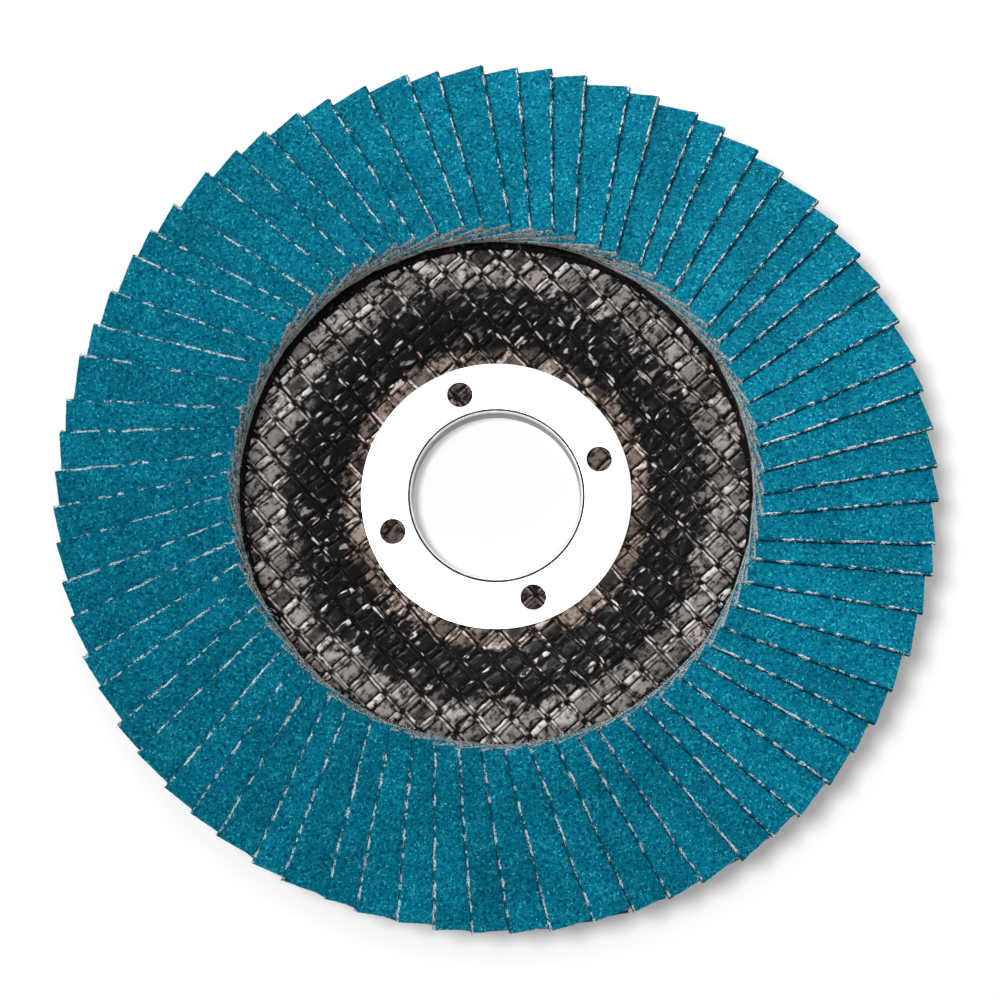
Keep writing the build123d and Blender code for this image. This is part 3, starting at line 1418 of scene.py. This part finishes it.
@dataclass
class FrontWeave:
    """The glass cloth's strands, standing proud of the plate's front."""

    dish: Dish
    yarn_gap: float = 0.5 * MM  # between the two yarns of a pair
    station: float = 0.3 * MM  # length of a cell along a strand
    bore_gap: float = 0.1 * MM
    wobble: float = 0.12 * MM
    wobble_length: float = 5.2 * MM
    slack: Span = (0.6, 1.0)
    tuck: float = 0.06 * MM  # how deep a strand's sides sink in
    unevenness: float = 0.16 * MM
    raggedness: float = 0.3 * MM
    lump_sizes: Triple = (1.0 * MM, 1.1 * MM, 1.4 * MM)
    run_under: float = 0.9 * MM  # how far the strands run on under the adhesive
    mesh_shine: Span = (0.5, 1.2)
    # painted highlight: a pillow's middle dips and its rim brightens
    rim_dip: Span = (0.0, 0.9)
    rim_highlight: float = 1.25
    bare_share: float = 0.14
    bare_shine: float = 0.08
    slit_share: float = 0.5
    slit_width: float = 0.5
    slit_depth: float = 0.9
    seed: int = 3

    def __post_init__(self) -> None:
        """Starts the weave's own source of scatter."""
        self.rng = random.Random(self.seed)

    def lines(self, offset: float, kind: Strand) -> Iterator[Triple]:
        """Walks over the straight runs of one family of strands.

        Args:
            offset: Place of the family's first strand beside the bore's axis.
            kind: The kind of strand.

        Yields:
            Place across the family, start and end of each run.
        """
        outer = self.dish.bed_radius + self.run_under
        inner = self.dish.bore_radius + self.bore_gap + kind.value.width / 2 + self.wobble
        count = math.ceil(outer / WEAVE_PITCH) + 1
        for number in range(-count, count + 1):
            across = number * WEAVE_PITCH + offset
            if abs(across) > outer - WEAVE_PITCH / 4:
                continue
            reach = math.sqrt(outer**2 - across**2)
            if abs(across) > inner:
                yield across, -reach, reach
                continue
            hole = math.sqrt(inner**2 - across**2)
            yield across, -reach, -hole
            yield across, hole, reach

    def strip(self, kind: Strand, turn: float, run: Triple) -> Piece:
        """Models one strand, draped over the dish.

        Args:
            kind: The kind of strand.
            turn: Direction of the family, in radians from +X.
            run: Place across the family, start and end.

        Returns:
            The strand, with its brightness stored as an attribute.
        """
        form = kind.value
        across, start, end = run
        cells = (max(2, round((end - start) / self.station)), form.rows)
        piece = Bench.grid("strand", (end - start, form.width), cells, Vector(((start + end) / 2, 0, 0)))
        flat = np.empty(len(piece.data.vertices) * 3)
        piece.data.vertices.foreach_get("co", flat)
        along, side, _ = flat.reshape(-1, 3).T
        even = side / (form.width / 2)
        share = np.sign(even) * (1 - (1 - np.abs(even)) ** 2)
        phase, slack = self.rng.uniform(0, math.tau), self.rng.uniform(*self.slack)
        drift = self.wobble * slack * np.sin(along / self.wobble_length + phase)
        rise = form.lift(np.cos(along * math.tau / WEAVE_PITCH))
        rounded = 1 - np.abs(share) ** form.fullness
        height = form.crown * rise * rounded - self.tuck * (1 - rounded)
        cos, sin = math.cos(turn), math.sin(turn)
        across = across + share * form.width / 2 + drift
        x, y = along * cos - across * sin, along * sin + across * cos
        z = self.dish.front(np.hypot(x, y)) - WEAVE_DEPTH + height
        piece.data.vertices.foreach_set("co", np.stack((x, y, z), axis=1).ravel())
        crown = piece.data.attributes.new("crown", "FLOAT", "POINT")
        crown.data.foreach_set("value", form.shine * rise * rounded * self.cell_shine(kind, along, share))
        return piece

    def cell_shine(self, kind: Strand, along: np.ndarray, share: np.ndarray) -> np.ndarray:
        """Draws the brightness of a strand, scattered from mesh to mesh.

        Args:
            kind: The kind of strand.
            along: Place of each vertex along the strand.
            share: Its place across the strand, -1 to 1.

        Returns:
            A factor for each vertex. A pillow gets a painted highlight towards its rim, or is bare of glass;
            a bar may be split by a dark slit.
        """
        shift = 0.5 if kind is Strand.YARN else 0.0
        mesh = np.rint(along / WEAVE_PITCH + shift).astype(int)
        mesh -= mesh.min()
        count = int(mesh.max()) + 1
        shine = np.array([self.rng.uniform(*self.mesh_shine) for _ in range(count)])
        bare = np.array([self.rng.random() < self.bare_share for _ in range(count)])
        rim = np.array([self.rng.uniform(*self.rim_dip) for _ in range(count)])
        slit = np.array([self.rng.random() < self.slit_share for _ in range(count)])
        if kind is Strand.YARN:
            return shine[mesh]
        if kind is Strand.BAR:
            cut = np.clip(1 - np.abs(share) / self.slit_width, 0.0, 1.0) * slit[mesh]
            return shine[mesh] * (1 - self.slit_depth * cut)
        # painted highlight towards the pillow's rim
        middle = np.where(bare, self.bare_shine, 1 - rim / 2)[mesh]
        return shine[mesh] * (middle + (self.rim_highlight - middle) * np.abs(share) ** 4)

    def weave(self, name: str, finish: GlassStrand, strips: list[Piece]) -> None:
        """Joins strands into one piece, lets them rise and sink a little, and finishes them.

        Args:
            name: The piece's name.
            finish: The strands' finish.
            strips: The strands.
        """
        piece = Bench.join(name, strips)
        for axis, size, depth, level in (
            ("Z", self.lump_sizes[2], self.unevenness, 0.9),
            ("X", self.lump_sizes[0], self.raggedness, 0.5),
            ("Y", self.lump_sizes[1], self.raggedness, 0.5),
        ):
            Bench.roughen(piece, Bench.clouds(f"{name}_lumps_{axis}", size), depth, level, direction=axis)
        Bench.dress(piece, finish.material())
        Bench.smooth(piece, degrees=60)
        Bench.seat(piece, Slot.LAMINATE)

    def build(self) -> None:
        """Models every strand and joins each family."""
        half, turn, square = WEAVE_PITCH / 2, WEAVE_TURN, WEAVE_TURN + math.pi / 2
        rovings = [self.strip(Strand.FLAT, turn, run) for run in self.lines(half, Strand.FLAT)]
        rovings += [self.strip(Strand.BAR, turn, run) for run in self.lines(0.0, Strand.BAR)]
        self.weave("glass_rovings", GlassStrand(turn=turn), rovings)
        yarns = [
            self.strip(Strand.YARN, square, run)
            for shift in (-self.yarn_gap / 2, self.yarn_gap / 2)
            for run in self.lines(half + shift, Strand.YARN)
        ]
        self.weave("glass_yarns", GlassStrand(name="glass_yarn", turn=square), yarns)


@dataclass
class AdhesiveBed:
    """The ring of resin that the flaps stand in, lumpy where it was squeezed out."""

    dish: Dish
    edge: float = 0.6 * MM  # the bed starts this far out on the rim
    heel: float = 0.35 * MM
    fill: float = 0.85  # share of the bed's full thickness
    off_centre: Span = (0.12 * MM, -0.12 * MM)
    lump: float = 0.34 * MM
    lump_size: float = 1.1 * MM
    steps: int = 420
    step_length: float = 0.5 * MM

    def build(self) -> None:
        """Turns the bed, pushes its ledge off centre, roughens it and finishes it."""
        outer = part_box("adhesive_bed")[1].x
        inner = self.dish.bed_radius + self.edge
        heel = inner + self.heel
        low = [(radius, float(self.dish.front(radius))) for radius in (inner, outer)]
        thickness = self.dish.bed_thickness * self.fill
        high = [(radius, float(self.dish.front(radius)) + thickness) for radius in (outer, heel)]
        bed = Bench.lathe("resin_bed", Bench.divided(low + high, self.step_length), self.steps)
        with Bench.editing(bed):
            ledge_end = heel + self.step_length
            Bench.select_where(bed, Element.CORNER, lambda corner: corner.co.xy.length < ledge_end)
            bpy.ops.transform.translate(value=(*self.off_centre, 0))
        Bench.roughen(bed, Bench.clouds("bed_lumps", self.lump_size), self.lump, level=0.65)
        Bench.dress(bed, CuredResin().material())
        Bench.smooth(bed, degrees=60)
        Bench.seat(bed, Slot.RESIN, "adhesive_bed")


# ------------------------------------------------------------------ centre ring


@dataclass
class CentreRing:
    """The pressed steel ring: flange with four key holes, groove, and a lip rolled into the collar."""

    bore_radius: float = 11.115 * MM
    metal: float = 0.5 * MM
    lip: float = 0.34 * MM
    lip_steps: int = 6
    groove_width: float = 0.26 * MM
    groove_depth: float = 0.16 * MM
    easing: float = 0.1 * MM
    key_holes: int = 4
    key_hole_radius: float = 1.7 * MM
    key_angle: float = math.radians(19.6)
    steps: int = 240

    @property
    def groove(self) -> float:
        """Radius at which the groove starts and the lip ends."""
        return self.bore_radius + self.lip

    def outline(self) -> list[Span]:
        """Draws the ring's section, with the lip as an arc.

        Returns:
            Radius and height of each corner.
        """
        low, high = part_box("centre_ring")
        seat = high.z - self.metal
        turns = [math.pi / 2 * step / self.lip_steps for step in range(self.lip_steps + 1)]
        lip = [
            (self.groove - self.lip * math.sin(turn), high.z - self.lip * (1 - math.cos(turn)))
            for turn in turns
        ]
        return [
            (self.bore_radius, low.z),
            (self.bore_radius + self.metal, low.z),
            (self.bore_radius + self.metal, seat),
            (high.x, seat),
            (high.x, high.z),
            (self.groove + self.groove_width, high.z),
            (self.groove + self.groove_width / 2, high.z - self.groove_depth),
            *lip,
        ]

    def punch(self) -> Piece:
        """Models what cuts the key holes, midway across the flange.

        Returns:
            The cylinders, joined.
        """
        _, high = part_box("centre_ring")
        circle = (self.bore_radius + high.x) / 2
        punches = []
        for number in range(self.key_holes):
            angle = self.key_angle + number * math.tau / self.key_holes
            place = (circle * math.cos(angle), circle * math.sin(angle), high.z - self.metal / 2)
            Bench.clear()
            bpy.ops.mesh.primitive_cylinder_add(
                vertices=64, radius=self.key_hole_radius, depth=4 * self.metal, location=place
            )
            punches.append(bpy.context.active_object)
        return Bench.join("punch", punches)

    def sort_faces(self, ring: Piece) -> None:
        """Gives the ring's faces their finishes.

        Args:
            ring: The finished form.
        """
        kinds = (TinnedSteel(), DullSteel(), DullSteel.drawn(), DullSteel.rolled())
        Bench.dress(ring, *(kind.material() for kind in kinds))
        for face in ring.data.polygons:
            radius = face.center.xy.length
            looks_up, upright = face.normal.z > 0.1, abs(face.normal.z) < 0.4
            # the groove is painted near-black as its shade and dark reflection
            if self.groove < radius < self.groove + self.groove_width and looks_up:
                face.material_index = RingFace.GROOVE
            # the upright bore wall is painted grey as its shade
            elif radius < self.bore_radius + self.lip / 8 and upright:
                face.material_index = RingFace.WALL
            elif radius < self.groove and face.center.z > self.metal:
                face.material_index = RingFace.LIP

    def build(self) -> None:
        """Turns the ring, punches its holes and eases its edges."""
        ring = Bench.lathe("steel_ring", self.outline(), self.steps)
        punch = self.punch()
        Bench.modifier(ring, "BOOLEAN", object=punch, operation="DIFFERENCE", solver="EXACT")
        bpy.data.objects.remove(punch)
        Bench.modifier(
            ring, "BEVEL", width=self.easing, segments=3, limit_method="ANGLE",
            angle_limit=math.radians(50), use_clamp_overlap=True,
        )
        self.sort_faces(ring)
        Bench.smooth(ring, degrees=40)
        Bench.seat(ring, Slot.STEEL, "centre_ring")


# ------------------------------------------------------------------ studio


@dataclass(frozen=True)
class Softbox:
    """A round soft light that faces the disc."""

    name: str
    bearing: float
    elevation: float
    spread: float
    share: float
    distance: float = 1.2
    shadow: bool = True

    def hang(self) -> None:
        """Hangs the light, so strong that the table gets its share of full white from it."""
        turn, tilt = math.radians(self.bearing), math.radians(self.elevation)
        flat = math.cos(tilt)
        way = Vector((math.cos(turn) * flat, math.sin(turn) * flat, math.sin(tilt)))
        Bench.clear()
        bpy.ops.object.light_add(type="AREA", location=way * self.distance)
        light = bpy.context.active_object
        light.name = self.name
        light.data.shape = "DISK"
        light.data.size = self.spread
        light.data.energy = self.share * (math.pi * self.distance) ** 2 / way.z
        light.data.use_shadow = self.shadow
        light.rotation_euler = way.to_track_quat("Z", "Y").to_euler()


@dataclass
class Studio:
    """White table, soft daylight from the upper left and the camera above."""

    target: Triple = (0.48 * MM, -0.67 * MM, 2.9 * MM)
    towards_camera: Triple = (0.005, -0.194, 0.98)
    distance: float = 350 * MM
    lens: float = 95.2
    sensor: float = 36.0
    lights: tuple[Softbox, ...] = (
        Softbox("key_light", bearing=176, elevation=72.5, spread=0.4, share=0.57),
        Softbox("fill_light", bearing=102, elevation=18, spread=0.7, share=0.25, shadow=False),
    )
    sky: float = 0.21
    table_size: float = 3.0
    table: Triple = (0.96, 0.96, 0.96)
    # the glow that the camera sees is dimmed near the disc: painted shade round it
    table_glow: Span = (0.03, 0.12)
    glow_span: Span = (57.0, 64.0)

    def build(self) -> None:
        """Sets table, light, sky and camera."""
        self.set_table()
        for light in self.lights:
            light.hang()
        self.set_sky()
        self.set_camera()
        bpy.context.scene.view_settings.view_transform = "Standard"

    def set_table(self) -> None:
        """Lays the white table under the disc, its glow dimmed near the disc as painted shade."""
        Bench.clear()
        bpy.ops.mesh.primitive_plane_add(size=self.table_size)
        table = bpy.context.active_object
        table.name = "table"
        shade = Shade("white_table")
        rays = shade.add("ShaderNodeLightPath").outputs["Is Camera Ray"]
        # painted shade: the glow falls off towards the disc
        glow = shade.span(shade.radius(), *self.glow_span, *self.table_glow)
        shade.set(
            Base_Color=opaque(self.table),
            Roughness=1.0,
            Specular_IOR_Level=0.0,
            Emission_Color=(1.0, 1.0, 1.0, 1.0),
            Emission_Strength=shade.times(rays, glow),
        )
        Bench.dress(table, shade.material)
        table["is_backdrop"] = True

    def set_sky(self) -> None:
        """White all round, dimmer as a light than as it is seen."""
        world = bpy.data.worlds.new("sky")
        bpy.context.scene.world = world
        world.use_nodes = True
        tree = world.node_tree
        rays = tree.nodes.new("ShaderNodeLightPath")
        seen = rays.outputs["Is Camera Ray"]
        for kind in ("Is Glossy Ray", "Is Transmission Ray"):
            either = tree.nodes.new("ShaderNodeMath")
            either.operation = "MAXIMUM"
            tree.links.new(seen, either.inputs[0])
            tree.links.new(rays.outputs[kind], either.inputs[1])
            seen = either.outputs["Value"]
        strength = tree.nodes.new("ShaderNodeMapRange")
        tree.links.new(seen, strength.inputs["Value"])
        strength.inputs["To Min"].default_value = self.sky
        strength.inputs["To Max"].default_value = 1.0
        background = tree.nodes["Background"]
        background.inputs["Color"].default_value = (1, 1, 1, 1)
        tree.links.new(strength.outputs["Result"], background.inputs["Strength"])

    def set_camera(self) -> None:
        """Sets the camera above the disc, with +Y at the top of its view."""
        back = Vector(self.towards_camera).normalized()
        up = Vector((0, 1, 0))
        up = (up - back * up.dot(back)).normalized()
        turned = Matrix((up.cross(back), up, back)).transposed().to_4x4()
        bpy.ops.object.camera_add()
        camera = bpy.context.active_object
        camera.data.lens = self.lens
        camera.data.sensor_width = self.sensor
        camera.matrix_world = Matrix.Translation(Vector(self.target) + back * self.distance) @ turned
        bpy.context.scene.camera = camera


def sizes() -> dict[str, list[float]]:
    """The shown model's low and high corners, as plain lists."""
    low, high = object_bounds()
    return {"low": list(low), "high": list(high)}


def main() -> None:
    """Builds the disc's dress and the studio round it."""
    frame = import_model()
    dish = Dish.measured()
    log.info("dish: %s", dish)
    BackingPlate(dish).build()
    FrontWeave(dish).build()
    AdhesiveBed(dish).build()
    CentreRing().build()
    FlapPack().build(frame["nodes"])
    Studio().build()


if __name__ == "__main__":
    logging.basicConfig(level=logging.INFO, format="%(name)s: %(message)s")
    main()
